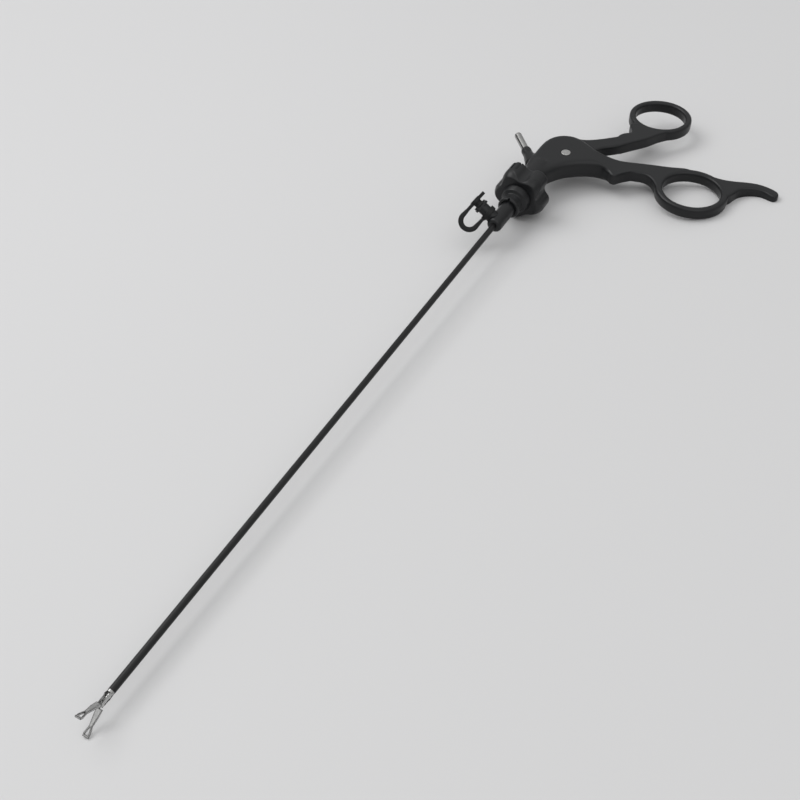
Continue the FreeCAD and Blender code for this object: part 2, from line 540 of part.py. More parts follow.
def jaw_shape():
    """The upper jaw, closed, about its own pivot: a cam lug behind, a fenestrated paddle ahead."""
    length = size("jaw_length")
    root, neck_w, tip_w = (size("jaw_root_width") / 2, size("jaw_neck_width") / 2,
                           size("jaw_tip_width") / 2)
    height, neck_h = size("jaw_height"), size("jaw_neck_height")
    lift = size("jaw_gap")
    neck_x, flare_x, bar_x = length * 0.68, length * 0.9, length - size("tip_bar")
    root_x = 2.3
    outline = [(root_x, root), (neck_x * 0.8, neck_w + 0.18), (neck_x, neck_w), (flare_x, tip_w),
               (length, tip_w * 0.96)]
    edges = []
    upper = [Vector(x, y, 0) for x, y in outline]
    lower = [Vector(x, -y, 0) for x, y in reversed(outline)]
    loop = upper + lower
    for a, b in zip(loop, loop[1:] + loop[:1]):
        edges.append(Part.makeLine(a, b))
    plan = Part.Face(Part.Wire(edges)).extrude(Vector(0, 0, height))
    side = [Vector(root_x, -3, lift), Vector(root_x, -3, height), Vector(neck_x, -3, lift + neck_h),
            Vector(bar_x, -3, lift + neck_h), Vector(length, -3, lift + height * 0.72),
            Vector(length, -3, lift)]
    profile = Part.Face(Part.Wire([Part.makeLine(a, b) for a, b in zip(side, side[1:] + side[:1])]))
    paddle = plan.common(profile.extrude(Vector(0, 6, 0)))
    window = [Vector(neck_x + 0.35, 0.14, 0), Vector(bar_x, tip_w - 0.5, 0), Vector(bar_x, -(tip_w - 0.5), 0),
              Vector(neck_x + 0.35, -0.14, 0)]
    hole = Part.Face(Part.Wire([Part.makeLine(a, b) for a, b in zip(window, window[1:] + window[:1])]))
    paddle = paddle.cut(hole.extrude(Vector(0, 0, height)))
    near, far = blade_half + 0.03, blade_half + 0.03 + size("lug_thick")
    start, middle, end = cam_points()
    tail = size("cam_wall") + drive_r + gap
    lug_points = [(end[0], end[1] - tail), (end[0] - tail, end[1]), (end[0], end[1] + tail),
                  (middle[0], middle[1] + tail), (0.2, 1.2), (root_x + 0.4, height), (root_x + 0.4, lift),
                  (root_x, lift), (0.5, -0.72), (-0.6, -0.72)]
    lug_loop = [Vector(x, near, z) for x, z in lug_points]
    lug_face = Part.Face(Part.Wire([Part.makeLine(a, b)
                                    for a, b in zip(lug_loop, lug_loop[1:] + lug_loop[:1])]))
    lug_plate = lug_face.extrude(Vector(0, far - near, 0))
    cam = cam_slot(start, middle, end, near, far)
    lug_plate = lug_plate.cut([cam, along_y(jaw_pin_r + gap, 0, near, far)])
    back_round = Part.makeCylinder(shaft_radius - 0.06, length + 10, Vector(-6, 0, 0), Vector(1, 0, 0))
    return paddle.fuse(lug_plate).common(back_round).removeSplitter()


def cam_points():
    """Where the drive pin lies in the closed jaw's frame: open, half way and closed."""
    points = []
    for share in (0.0, 0.5, 1.0):
        reach_back = size("drive_pin_rest") + travel * share
        angle = math.radians(size("jaw_opening") * (1 - share))
        points.append((-reach_back * math.cos(angle), reach_back * math.sin(angle)))
    return points


def cam_slot(start, middle, end, low, high):
    """The slot that a round pin sweeps along the arc through three points."""
    radius = drive_r + gap
    arc = Part.Arc(*[Vector(x, low, z) for x, z in (start, middle, end)])
    cam = None
    steps = 12
    for i in range(steps + 1):
        at = arc.value(arc.FirstParameter + (arc.LastParameter - arc.FirstParameter) * i / steps)
        disc = along_y(radius, at.x, low, high, at.z)
        cam = disc if cam is None else cam.fuse(disc)
    return cam


jaw = jaw_shape()
pivot_point = Vector(jaw_x, 0, 0)
upper = FreeCAD.Placement(pivot_point, FreeCAD.Rotation(Vector(0, 1, 0), -size("jaw_opening")))
keep(shaped("JawUpper", jaw, upper), "jaw_upper")
flipped = FreeCAD.Rotation(Vector(1, 0, 0), 180)
lower = FreeCAD.Placement(pivot_point, FreeCAD.Rotation(Vector(0, 1, 0), size("jaw_opening")).multiply(flipped))
keep(shaped("JawLower", jaw.copy(), lower), "jaw_lower")

# Handle body: cheeks round the lever's hub, the fixed grip with its ring and hook, nose and boss.
cheek = size("cheek_thickness")
grip = size("grip_thickness")
face_back = -(size("knob_front") + size("knob_thickness") + size("face_gap"))
neck_r = size("neck_diameter") / 2
neck_back = face_back - size("neck_length")

cheek_face = smooth_face([
    (face_back - 4.6, 0), (face_back - 6.6, -4.6), (-52.0, -6.6), (-61.0, -6.9), (-71.0, -6.9),
    (-79.0, -5.2), (-84.2, -0.8), (-86.4, 5.0), (-85.6, 11.6), (-82.4, 18.4), (-79.6, 26.0),
    (-79.4, 33.0), (-79.8, 38.6), (-77.6, 43.2), (-73.4, 44.6), (-69.6, 42.6), (-67.8, 38.0),
    (-68.4, 32.6), (-68.6, 27.0), (-66.0, 20.6), (-60.4, 13.6), (-53.6, 8.6), (face_back - 7.1, 5.0)])
cheeks = rounded(slab(cheek_face, cheek), cheek, size("cheek_round"))

ring_centre = (size("finger_ring_x"), size("finger_ring_y"))
band = size("ring_band")
grip_face = smooth_face([
    (-76.6, 27.0), (-81.8, 41.0), (-85.6, 52.6), (-89.0, 63.0), (-90.6, 71.0), (-84.0, 74.0),
    (-74.0, 68.0), (-67.0, 61.6), (-73.0, 55.6), (-74.4, 48.6), (-68.8, 41.6), (-66.6, 36.6),
    (-68.6, 30.0), (-71.0, 24.0)])
hook_face = smooth_face([
    (-91.0, 84.0), (-93.4, 96.0), (-96.2, 105.0), (-95.8, 112.4), (-92.6, 117.6), (-89.4, 117.0),
    (-90.6, 111.0), (-90.2, 104.0), (-85.6, 98.4), (-78.0, 95.0), (-80.0, 89.0), (-86.6, 82.0)])
half_band = slab(ellipse_face(ring_centre, size("finger_long") + band / 2,
                              size("finger_short") + band / 2, 90), 2 * grip)
grip_plate = rounded(slab(grip_face, grip), grip, size("edge_round")).cut(half_band)
hook_plate = rounded(slab(hook_face, grip), grip, size("edge_round")).cut(half_band)
finger_plate = ring_plate(ring_centre, size("finger_long"), size("finger_short"), 90, band, grip,
                          size("edge_round"))

nose_shape = Part.makeCylinder(neck_r, size("neck_length"), Vector(face_back, 0, 0), Vector(-1, 0, 0))
nose_rim = [e for e in nose_shape.Edges if all(abs(v.Point.x - face_back) < 1e-6 for v in e.Vertexes)
            and e.Curve.TypeId == "Part::GeomCircle"]
nose_shape = nose_shape.makeFillet(0.9, nose_rim)
nose_tail = Part.makeSphere(neck_r, Vector(neck_back, 0, 0)).common(
    Part.makeBox(neck_r, 4 * neck_r, cheek, Vector(neck_back - neck_r, -2 * neck_r, -cheek / 2)))

out = Vector(math.cos(math.radians(size("connector_angle"))), math.sin(math.radians(size("connector_angle"))), 0)
boss_end = Vector(size("connector_x"), size("connector_y"), 0)
boss_start = boss_end - out * size("boss_length")
boss = Part.makeCylinder(size("boss_diameter") / 2, size("boss_length"), boss_start, out)
boss_rim = [e for e in boss.Edges if e.Curve.TypeId == "Part::GeomCircle"
            and (e.CenterOfMass - boss_end).Length < 0.01]
boss = boss.makeFillet(0.6, boss_rim)
boss_skirt = Part.makeCone(size("boss_diameter") / 2 + 1.6, size("boss_diameter") / 2,
                           size("boss_length") * 0.62, boss_start, out)

body = cheeks.multiFuse([grip_plate, hook_plate, finger_plate, nose_shape, nose_tail, boss, boss_skirt])

hub_gap = 0.5
socket_r = size("socket_radius")
socket_room = slab(disc_face(pivot, socket_r + hub_gap), size("slot_width")).common(
    Part.makeBox(60, 40, 20, Vector(pivot[0] - 30, pivot[1] - 40, -10)))
lever_slot = slab(disc_face(pivot, size("hub_radius") + hub_gap), size("slot_width")).fuse(socket_room)
arm_half = size("lever_arm_width") / 2


def arm_face(angle, reach_out, half):
    """A straight strip from the pivot along the angle."""
    along = (math.cos(math.radians(angle)), math.sin(math.radians(angle)))
    across = (-along[1], along[0])
    corners = [(pivot[0] + a * along[0] + b * across[0], pivot[1] + a * along[1] + b * across[1])
               for a, b in ((0, -half), (reach_out, -half), (reach_out, half), (0, half))]
    return Part.Face(Part.makePolygon([Vector(x, y, 0) for x, y in corners + corners[:1]]))


sweep_steps = 4
for i in range(sweep_steps + 1):
    turn = size("lever_arm_angle") - size("closing_angle") * i / sweep_steps
    lever_slot = lever_slot.fuse(slab(arm_face(turn, 60, arm_half + 0.9), size("slot_width")))
rear_edge = -75.2
rear_room = slab(disc_face(pivot, 24.0), size("slot_width")).common(
    Part.makeBox(40, 60, 20, Vector(rear_edge - 40, pivot[1] - 30, -10)))
lever_slot = lever_slot.fuse(rear_room)
spindle_back = size("knob_front") + size("knob_thickness") + size("spindle_length")
chamber_front = -(spindle_back - 2.6 - size("clip_width") - size("slip_ring_width")) + 0.5
chamber = Part.makeCylinder(size("chamber_diameter") / 2, spindle_back + 1.2 + chamber_front,
                            Vector(chamber_front, 0, 0), Vector(-1, 0, 0))
bore = Part.makeCylinder(size("spindle_diameter") / 2 + gap, 20, Vector(face_back + 1, 0, 0), Vector(-1, 0, 0))
rod_room = Part.makeCylinder(2.0, 26, Vector(-54, 0, 0), Vector(-1, 0, 0))
screw_r = size("screw_diameter") / 2
head_r = size("screw_head") / 2


def upright(radius, low, high, at=pivot):
    return Part.makeCylinder(radius, high - low, Vector(at[0], at[1], low))


pin_bore = Part.makeCylinder(size("connector_shell") / 2, size("pin_socket"), boss_end, out * -1)
for tool in (lever_slot, chamber, bore, rod_room, upright(screw_r, -cheek, cheek),
             upright(head_r, cheek / 2 - size("screw_head_height"), cheek),
             upright(size("nut_diameter") / 2, -cheek, -cheek / 2 + size("nut_height")), pin_bore):
    body = body.cut(tool)
solids = sorted(body.Solids, key=lambda s: -s.Volume)
print("handle body solids:", [round(s.Volume, 2) for s in solids])
keep(shaped("HandleBody", solids[0]), "handle_body")

# Thumb lever: hub between the cheeks, straight arm, oval thumb ring.
thumb = (size("thumb_ring_x"), size("thumb_ring_y"))
lever_thick = size("lever_thickness")
arm_angle = size("lever_arm_angle")
lever_round = size("edge_round") - 0.2
lever_band = band - 0.4
back_face = smooth_face([
    (-78.0, -4.4), (-83.4, -2.2), (-86.9, 3.6), (-88.6, 10.4), (-92.2, 16.2), (-98.0, 22.6),
    (-104.6, 27.8), (-110.4, 29.4), (-115.6, 26.6), (-118.0, 32.0), (-113.0, 42.0), (-104.0, 37.0),
    (-94.0, 29.4), (-84.0, 21.4), (-72.0, 14.0), (-69.6, 4.0),
    (-71.6, -1.4), (-74.4, -3.4)])
arm_tip = smooth_face([
    (-94.0, 29.4), (-106.0, 38.8), (-116.4, 46.8), (-124.6, 52.4), (-132.0, 54.6), (-130.0, 47.0),
    (-119.0, 40.0), (-108.0, 30.0), (-97.0, 26.0)])
thumb_half = slab(ellipse_face(thumb, size("thumb_long") + lever_band / 2,
                               size("thumb_short") + lever_band / 2, size("thumb_turn")), 20)
hub = rounded(slab(disc_face(pivot, size("hub_radius")), lever_thick), lever_thick, lever_round)
back = rounded(slab(back_face, lever_thick), lever_thick, lever_round).cut(thumb_half)
tip_plate = rounded(slab(arm_tip, lever_thick), lever_thick, lever_round).cut(thumb_half)
thumb_plate = ring_plate(thumb, size("thumb_long"), size("thumb_short"), size("thumb_turn"),
                         lever_band, lever_thick, lever_round)
socket_lug = slab(disc_face(pivot, socket_r), lever_thick).common(
    Part.makeBox(11, 16, 20, Vector(pivot[0] - 5.5, pivot[1] - 16, -10)))
lever = hub.multiFuse([back, tip_plate, thumb_plate, socket_lug])
rod_channel = Part.makeBox(12, 3.8, 2.6, Vector(pivot[0], -1.3, -1.3))
ball_r = size("ball_diameter") / 2 + 2 * gap
ball_slot = Part.makeCylinder(ball_r, 20, Vector(-size("pivot_back"), 0.9, -10)).fuse(
    Part.makeBox(2 * ball_r, 20, 20, Vector(-size("pivot_back") - ball_r, 0.9 - 20, -10)))
bush_r = size("screw_diameter") / 2 + gap + size("bush_wall")
lever = lever.cut([rod_channel, ball_slot, upright(bush_r, -10, 10)])
solids = sorted(lever.Solids, key=lambda s: -s.Volume)
print("lever solids:", [round(s.Volume, 2) for s in solids])
keep(shaped("ThumbLever", solids[0]), "thumb_lever")
bush = upright(bush_r, -lever_thick / 2, lever_thick / 2).cut(upright(screw_r + gap, -10, 10))
keep(shaped("LeverBush", bush), "lever_bush")

# Pivot screw and its nut.
head_top = cheek / 2 + 0.15
shank_low = -cheek / 2 + 0.3
screw = upright(screw_r, shank_low, cheek / 2 - size("screw_head_height")).fuse(
    upright(head_r, cheek / 2 - size("screw_head_height"), head_top))
rim = [e for e in screw.Edges if e.Curve.TypeId == "Part::GeomCircle" and abs(e.CenterOfMass.z - head_top) < 1e-6]
screw = screw.makeFillet(0.25, rim)
keep(shaped("PivotScrew", screw.removeSplitter()), "pivot_screw")
nut = upright(size("nut_diameter") / 2, -cheek / 2, -cheek / 2 + size("nut_height")).cut(
    upright(screw_r, -cheek, cheek))
keep(shaped("PivotNut", nut), "pivot_nut")

# Connector: two half poles round an insulating web, in an insulating shell in the boss.
pin_r = size("pin_diameter") / 2
socket = size("pin_socket")
pin_total = size("pin_length") + socket
pin_start = boss_end - out * socket
side = Vector(-out.y, out.x, 0)
web_half = size("pin_gap") / 2
root_r = size("pin_root_diameter") / 2
round_pin = Part.makeCylinder(pin_r, pin_total - socket, boss_end, out)
pin_rim = [e for e in round_pin.Edges if e.Curve.TypeId == "Part::GeomCircle"
           and (e.CenterOfMass - (pin_start + out * pin_total)).Length < 0.01]
round_pin = round_pin.makeFillet(0.9, pin_rim).fuse(Part.makeCylinder(root_r, socket, pin_start, out))


web = Part.makeBox(pin_total - 0.6, 2 * web_half, 2 * pin_r, Vector(0, -web_half, -pin_r))
frame_pin = FreeCAD.Placement(pin_start, FreeCAD.Rotation(Vector(1, 0, 0), out).multiply(
    FreeCAD.Rotation(Vector(1, 0, 0), size("web_turn"))))
web.Placement = frame_pin
web = web.common(round_pin)
right = Part.makeBox(pin_total + 2, 10, 20, Vector(-1, web_half, -10))
left = Part.makeBox(pin_total + 2, 10, 20, Vector(-1, -web_half - 10, -10))
right.Placement = frame_pin
left.Placement = frame_pin
keep(shaped("PoleA", round_pin.common(right)), "connector_pole_a")
keep(shaped("PoleB", round_pin.common(left)), "connector_pole_b")
shell = Part.makeCylinder(size("connector_shell") / 2, socket, pin_start, out).cut(
    Part.makeCylinder(root_r, socket, pin_start, out))
keep(shaped("Web", web.fuse(shell).removeSplitter()), "connector_insulator")

doc.recompute()
failed = [obj.Name for obj in doc.Objects if "Invalid" in obj.State or "Error" in obj.State]
if failed:
    raise RuntimeError("these objects failed: " + ", ".join(failed))
os.makedirs("parts", exist_ok=True)
for obj in export:
    shape = obj.Shape
    if shape.isNull() or not shape.isValid() or shape.Volume <= 0:
        raise RuntimeError("%s has no valid shape" % obj.Label)
    shape.exportStep("parts/%s.step" % obj.Label)
    print("%s: %d solids, %.2f mm3" % (obj.Label, len(shape.Solids), shape.Volume))
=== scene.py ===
# %% [markdown]
# # Slim bipolar forceps, dressed for the camera
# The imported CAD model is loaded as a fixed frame. Each of its pieces already sits on the body it moves
# with, so this lesson only adds finishes, softer mouldings, small details, light and a camera.

# %% Load the frame and clear the selection
import json
import math

import bpy
from mathutils import Matrix, Vector

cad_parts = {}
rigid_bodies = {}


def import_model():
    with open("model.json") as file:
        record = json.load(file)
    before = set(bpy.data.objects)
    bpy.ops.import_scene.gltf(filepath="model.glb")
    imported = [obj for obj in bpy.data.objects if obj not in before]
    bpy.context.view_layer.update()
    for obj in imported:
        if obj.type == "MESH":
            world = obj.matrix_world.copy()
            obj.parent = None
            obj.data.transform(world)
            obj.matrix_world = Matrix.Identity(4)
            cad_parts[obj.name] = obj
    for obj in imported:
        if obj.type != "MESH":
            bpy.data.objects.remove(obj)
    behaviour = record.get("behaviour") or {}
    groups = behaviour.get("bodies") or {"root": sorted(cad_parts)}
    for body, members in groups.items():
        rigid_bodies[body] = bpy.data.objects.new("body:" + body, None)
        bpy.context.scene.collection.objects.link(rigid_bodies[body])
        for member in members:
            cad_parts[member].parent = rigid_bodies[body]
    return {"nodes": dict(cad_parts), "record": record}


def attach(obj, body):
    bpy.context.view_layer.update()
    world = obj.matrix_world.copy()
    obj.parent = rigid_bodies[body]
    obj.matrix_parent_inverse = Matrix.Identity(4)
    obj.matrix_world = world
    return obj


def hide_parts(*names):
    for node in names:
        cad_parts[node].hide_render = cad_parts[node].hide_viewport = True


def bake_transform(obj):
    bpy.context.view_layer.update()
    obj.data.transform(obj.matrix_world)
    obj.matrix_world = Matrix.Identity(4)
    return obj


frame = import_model()
nodes = frame["nodes"]
bpy.ops.object.select_all(action="DESELECT")
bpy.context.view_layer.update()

# %% [markdown]
# The photograph looks down on the tool from beyond the jaws' side of the handle. The shaft runs towards
# the lens, which is why it grows wider towards the jaws. A camera is easiest to place from three
# directions: where it looks, what is to its right and what is up.

# %% Camera
EYE = Vector((0.4390, 0.1955, 0.3781))
LOOK = Vector((-0.59801, -0.33960, -0.72599))
RIGHT = Vector((-0.49382, 0.86957, 0.0))
bpy.ops.object.camera_add(location=EYE)
camera = bpy.context.object
camera.name = "lens_over_the_jaws"
turn = Matrix((RIGHT, RIGHT.cross(LOOK), -LOOK)).transposed()
camera.matrix_world = Matrix.Translation(EYE) @ turn.to_4x4()
camera.data.lens = 54.0
camera.data.sensor_width = 36.0
camera.data.clip_start = 0.01
bpy.context.scene.camera = camera
print("camera stands", round(EYE.length, 3), "m from the housing nose")

# %% [markdown]
# The tool rests on three points: the lower jaw tip, the underside of the knob and the finger ring. The
# table top is the plane through them, so it leans a little in the tool's own frame.

# %% Table top
JAW_REST = Vector((0.3173, 0.0, -0.0070))
KNOB_REST = Vector((-0.0355, -0.0025, -0.0146))
RING_REST = Vector((-0.0610, 0.083, -0.0036))
TABLE_RADIUS = 3.0
TABLE_GAP = 0.0004
UPRIGHT = Vector((0.0, 0.0, 1.0))
table_normal = (RING_REST - JAW_REST).cross(KNOB_REST - JAW_REST).normalized()
lean = UPRIGHT.rotation_difference(table_normal).to_matrix().to_4x4()
bpy.ops.mesh.primitive_circle_add(vertices=96, radius=TABLE_RADIUS, fill_type="NGON", location=(0, 0, 0))
table_top = bpy.context.object
table_top.name = "table_top"
table_top.data.transform(Matrix.Translation(KNOB_REST - UPRIGHT * TABLE_GAP) @ lean)
print("table leans", round(math.degrees(table_normal.angle(UPRIGHT)), 2), "degrees")

# %% [markdown]
# Every shader below is built from the same two steps: add a node with its values, and link it. The
# first helper does the one step, and the second starts a group that several shaders can share.

# %% Helpers for shader nodes
FLOAT, VECTOR = "NodeSocketFloat", "NodeSocketVector"


def add(tree, kind, values=None, **settings):
    """A node in the tree, with its settings and its unlinked inputs filled in."""
    node = tree.nodes.new(kind)
    for key, value in settings.items():
        setattr(node, key, value)
    for key, value in (values or {}).items():
        node.inputs[key].default_value = value
    return node


def new_group(name, inputs, outputs):
    """An empty shader group and its two end nodes."""
    made = bpy.data.node_groups.new(name, "ShaderNodeTree")
    for title, kind, value in inputs:
        socket = made.interface.new_socket(name=title, in_out="INPUT", socket_type=kind)
        if value is not None:
            socket.default_value = value
    for title, kind in outputs:
        made.interface.new_socket(name=title, in_out="OUTPUT", socket_type=kind)
    return made, made.nodes.new("NodeGroupInput"), made.nodes.new("NodeGroupOutput")


# %% [markdown]
# One wide lamp from the upper left makes the soft shadows to the right of the rings. A second, weaker
# one fills the other side. The world is pale overhead and dimmer towards the horizon, as under a soft
# ceiling light, so that upright walls come out darker than the tops. What the camera sees of the world
# itself is one pale grey, as the table is.

# %% Lamps and world
MIDDLE_OF_TOOL = Vector((0.08, 0.02, 0.0))
HORIZON, OVERHEAD, BACKDROP = 0.33, 1.14, 0.80


def lamp(name, place, size, power):
    """A square soft box at place, turned to the middle of the tool."""
    bpy.ops.object.light_add(type="AREA", location=place)
    made = bpy.context.object
    made.name = name
    made.data.shape = "SQUARE"
    made.data.size = size
    made.data.energy = power
    aim = MIDDLE_OF_TOOL - Vector(place)
    made.rotation_euler = aim.to_track_quat("-Z", "Y").to_euler()


lamp("soft_box_left", (0.05, -1.1, 1.25), size=1.15, power=11.0)
lamp("soft_box_fill", (0.7, 0.6, 1.3), size=1.6, power=4.0)
world = bpy.data.worlds.new("pale_room")
bpy.context.scene.world = world
world.use_nodes = True
sky = world.node_tree
background = sky.nodes["Background"]
background.inputs["Color"].default_value = (0.800, 0.800, 0.802, 1)
direction = add(sky, "ShaderNodeTexCoord")
parts = add(sky, "ShaderNodeSeparateXYZ")
height = add(sky, "ShaderNodeMapRange", {"To Min": HORIZON, "To Max": OVERHEAD})
seen = add(sky, "ShaderNodeLightPath")
backdrop = add(sky, "ShaderNodeMix", {"B": BACKDROP})
sky.links.new(direction.outputs["Generated"], parts.inputs["Vector"])
sky.links.new(parts.outputs["Z"], height.inputs["Value"])
sky.links.new(seen.outputs["Is Camera Ray"], backdrop.inputs["Factor"])
sky.links.new(height.outputs["Result"], backdrop.inputs["A"])
sky.links.new(backdrop.outputs["Result"], background.inputs["Strength"])
bpy.context.scene.view_settings.view_transform = "Standard"

# %% [markdown]
# Several finishes share an effect: the fine grain of moulded plastic, wear and painted reflections along
# edges, or the lines that a grinding belt leaves in steel. Each effect is one node group with its own
# inputs, so a finish places it and sets the numbers.

# %% Group: fine grain of a moulded surface
grain, source, sink = new_group(
    "moulded_grain",
    [("Vector", VECTOR, None), ("Grain per metre", FLOAT, 2200.0), ("Flow per metre", FLOAT, 60.0)],
    [("Height", FLOAT), ("Flow", FLOAT)],
)
fine = add(grain, "ShaderNodeTexNoise", {"Detail": 3.0, "Roughness": 0.6})
broad = add(grain, "ShaderNodeTexNoise", {"Detail": 2.0, "Roughness": 0.5})
grain.links.new(source.outputs["Vector"], fine.inputs["Vector"])
grain.links.new(source.outputs["Grain per metre"], fine.inputs["Scale"])
grain.links.new(source.outputs["Vector"], broad.inputs["Vector"])
grain.links.new(source.outputs["Flow per metre"], broad.inputs["Scale"])
grain.links.new(fine.outputs["Fac"], sink.inputs["Height"])
grain.links.new(broad.outputs["Fac"], sink.inputs["Flow"])

# %% [markdown]
# A bevelled normal leaves the true one only near an edge, so the angle between the two finds the edges.
# Noise breaks the mask up, because a real edge wears in patches. Least is what the gaps still get.
# Besides wear, the mask lays painted highlights on the plastics' edges and a painted dark reflection on
# the edges of the shaft's steel and the jaws.

# %% Group: wear, painted highlights and painted dark reflections along edges
wear_and_reflection, source, sink = new_group(
    "edge_wear_and_painted_reflection",
    [("Vector", VECTOR, None), ("Width", FLOAT, 0.0006), ("Breaks per metre", FLOAT, 260.0),
     ("Amount", FLOAT, 0.6), ("Least", FLOAT, 0.0)],
    [("Mask", FLOAT)],
)
soft = add(wear_and_reflection, "ShaderNodeBevel", samples=6)
surface = add(wear_and_reflection, "ShaderNodeNewGeometry")
dot = add(wear_and_reflection, "ShaderNodeVectorMath", operation="DOT_PRODUCT")
ramp = add(wear_and_reflection, "ShaderNodeMapRange", {"From Min": 0.995, "From Max": 0.90})
breaks = add(wear_and_reflection, "ShaderNodeTexNoise", {"Detail": 3.0, "Roughness": 0.65})
patchy = add(wear_and_reflection, "ShaderNodeMapRange", {"From Min": 0.40, "From Max": 0.62})
joined = add(wear_and_reflection, "ShaderNodeMath", operation="MULTIPLY")
scaled = add(wear_and_reflection, "ShaderNodeMath", operation="MULTIPLY")
wear_and_reflection.links.new(source.outputs["Width"], soft.inputs["Radius"])
wear_and_reflection.links.new(soft.outputs["Normal"], dot.inputs[0])
wear_and_reflection.links.new(surface.outputs["Normal"], dot.inputs[1])
wear_and_reflection.links.new(dot.outputs["Value"], ramp.inputs["Value"])
wear_and_reflection.links.new(source.outputs["Vector"], breaks.inputs["Vector"])
wear_and_reflection.links.new(source.outputs["Breaks per metre"], breaks.inputs["Scale"])
wear_and_reflection.links.new(breaks.outputs["Fac"], patchy.inputs["Value"])
wear_and_reflection.links.new(source.outputs["Least"], patchy.inputs["To Min"])
wear_and_reflection.links.new(ramp.outputs["Result"], joined.inputs[0])
wear_and_reflection.links.new(patchy.outputs["Result"], joined.inputs[1])
wear_and_reflection.links.new(joined.outputs["Value"], scaled.inputs[0])
wear_and_reflection.links.new(source.outputs["Amount"], scaled.inputs[1])
wear_and_reflection.links.new(scaled.outputs["Value"], sink.inputs["Mask"])

# %% Group: fine lines left by brushing
brush, source, sink = new_group(
    "brushed_lines",
    [("Vector", VECTOR, None), ("Stretch", VECTOR, (1.0, 1.0, 1.0)), ("Lines per metre", FLOAT, 3000.0)],
    [("Height", FLOAT), ("Streaks", FLOAT)],
)
squeeze = add(brush, "ShaderNodeVectorMath", operation="MULTIPLY")
lines = add(brush, "ShaderNodeTexNoise", {"Detail": 4.0, "Roughness": 0.7})
streaks = add(brush, "ShaderNodeMapRange", {"From Min": 0.35, "From Max": 0.65})
brush.links.new(source.outputs["Vector"], squeeze.inputs[0])
brush.links.new(source.outputs["Stretch"], squeeze.inputs[1])
brush.links.new(squeeze.outputs["Vector"], lines.inputs["Vector"])
brush.links.new(source.outputs["Lines per metre"], lines.inputs["Scale"])
brush.links.new(lines.outputs["Fac"], streaks.inputs["Value"])
brush.links.new(lines.outputs["Fac"], sink.inputs["Height"])
brush.links.new(streaks.outputs["Result"], sink.inputs["Streaks"])

# %% [markdown]
# Plastic and metal are built the same way. One output of a texture group mixes two close colours and
# varies the gloss, another one raises the surface, and the edges turn to a colour of their own: wear,
# with a painted highlight on the plastics and a painted dark reflection on the shaft's steel and the
# jaws.

# %% Finish maker: what plastic and metal share
finishes = {}


def worked(name, group, varies, low, high, edge, rough, bump_strength, bump_height):
    """A new finish, and its shader, texture and edge nodes for what is left to set."""
    made = bpy.data.materials.new(name)
    made.use_nodes = True
    finishes[name] = made
    tree = made.node_tree
    shader = tree.nodes["Principled BSDF"]
    where = add(tree, "ShaderNodeTexCoord")
    texture = add(tree, "ShaderNodeGroup", node_tree=group)
    edges = add(tree, "ShaderNodeGroup", node_tree=wear_and_reflection)
    tint = add(tree, "ShaderNodeMix", {"A": (*low, 1), "B": (*high, 1)}, data_type="RGBA")
    # The edge colour laid here is partly wear and partly painted light: highlights on plastic, dark
    # reflections on the shaft's steel and jaws.
    rubbed_and_reflecting = add(tree, "ShaderNodeMix", {"B": (*edge, 1)}, data_type="RGBA")
    sheen = add(tree, "ShaderNodeMapRange", {"To Min": rough[0], "To Max": rough[1]})
    bump = add(tree, "ShaderNodeBump", {"Strength": bump_strength, "Distance": bump_height})
    tree.links.new(where.outputs["Object"], texture.inputs["Vector"])
    tree.links.new(where.outputs["Object"], edges.inputs["Vector"])
    tree.links.new(texture.outputs[varies], tint.inputs["Factor"])
    tree.links.new(tint.outputs["Result"], rubbed_and_reflecting.inputs["A"])
    tree.links.new(edges.outputs["Mask"], rubbed_and_reflecting.inputs["Factor"])
    tree.links.new(rubbed_and_reflecting.outputs["Result"], shader.inputs["Base Color"])
    tree.links.new(texture.outputs[varies], sheen.inputs["Value"])
    tree.links.new(sheen.outputs["Result"], shader.inputs["Roughness"])
    tree.links.new(texture.outputs["Height"], bump.inputs["Height"])
    tree.links.new(bump.outputs["Normal"], shader.inputs["Normal"])
    return shader, texture, edges


# %% Finish makers: plastic and metal
def plastic(name, dark, pale, rough, grain_per_metre, grain_height, wear_and_reflection_amount, gloss=0.34):
    """A dull moulded plastic between two close colours, with grain, flow and paler edges, partly worn
    and partly a painted highlight.
    """
    # The pale edge colour is partly wear and partly a painted highlight along the edges.
    edge = [min(1.0, channel * 2.6 + 0.02) for channel in pale]
    shader, texture, edges = worked(name, grain, "Flow", dark, pale, edge,
                                    (rough - 0.06, rough + 0.08), 0.5, grain_height)
    texture.inputs["Grain per metre"].default_value = grain_per_metre
    edges.inputs["Amount"].default_value = wear_and_reflection_amount
    shader.inputs["Specular IOR Level"].default_value = gloss


def metal(name, deep, bright, rough, stretch, lines_per_metre, line_height, wear_and_reflection_amount, edge,
          least=0.0, width=0.00025):
    """A metal with lines along one way, and edge colour: bright where wear rubs it, dark where a dark
    reflection is painted on.
    """
    shader, texture, edges = worked(name, brush, "Streaks", deep, bright, edge,
                                    (rough - 0.05, rough + 0.10), 0.4, line_height)
    texture.inputs["Stretch"].default_value = stretch
    texture.inputs["Lines per metre"].default_value = lines_per_metre
    edges.inputs["Width"].default_value = width
    edges.inputs["Amount"].default_value = wear_and_reflection_amount
    edges.inputs["Least"].default_value = least
    shader.inputs["Metallic"].default_value = 1.0


# %% [markdown]
# The handle, knob and housing are one family of black plastic. Sterilising dulls it: the colour flows a
# little, edges go slightly pale, partly from wear and partly as a painted highlight, and a fine eroded
# grain breaks the highlights. The steel of the shaft's end and the jaws has dark edges, which are a
# painted dark reflection.

